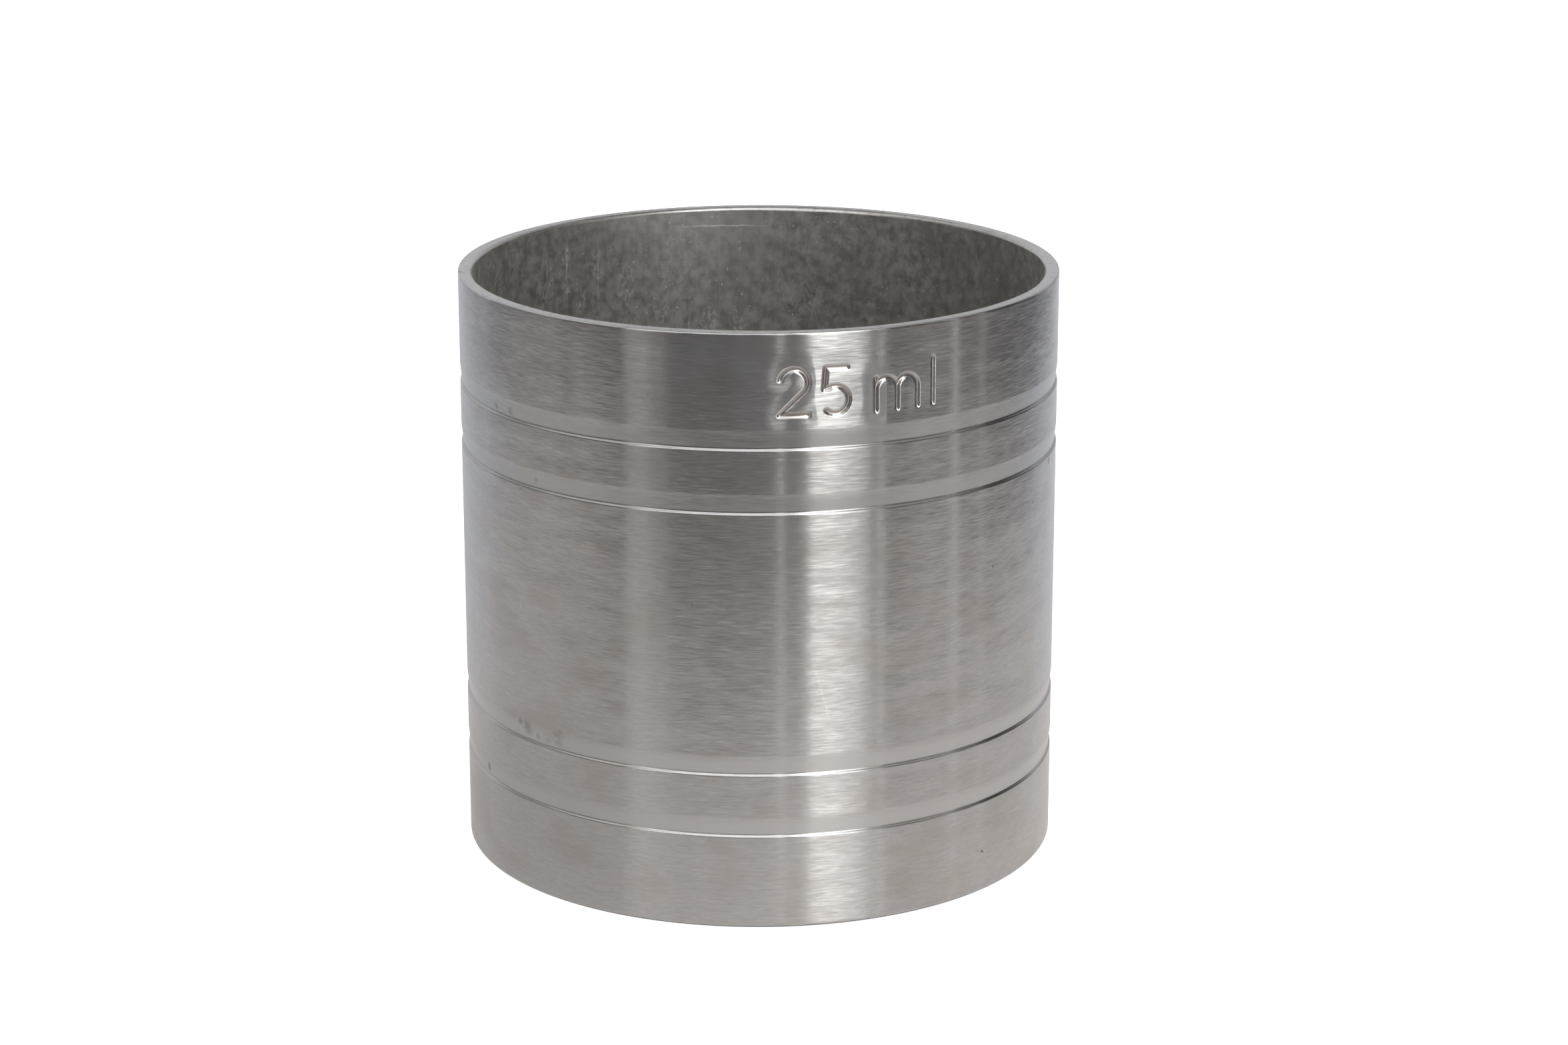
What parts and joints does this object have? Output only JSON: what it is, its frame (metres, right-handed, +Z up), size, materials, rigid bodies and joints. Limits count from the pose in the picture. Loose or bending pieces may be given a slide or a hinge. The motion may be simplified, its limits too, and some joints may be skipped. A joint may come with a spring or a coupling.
{
  "type": "bar jigger",
  "caption": "Straight cylindrical steel spirit measure with paired grooves near each end, a flat lip and a raised floor, for pouring a fixed measure of spirit level with the rim.",
  "frame": {"origin": "centre of the foot ring, on the surface that the measure stands on", "axes": "+Z up along the bore, -Y out through the capacity mark"},
  "size_m": [0.0382, 0.0382, 0.0375],
  "materials": {
    "brushed_steel": "lathe-brushed round the outside, dull as drawn inside",
    "drawn_steel": "dull pressed sheet",
    "silver_solder": "satin tin-silver solder"
  },
  "bodies": {
    "root": {"measure_tube": "brushed_steel", "base_cap": "drawn_steel", "solder_fillet": "silver_solder"}
  },
  "joints": []
}
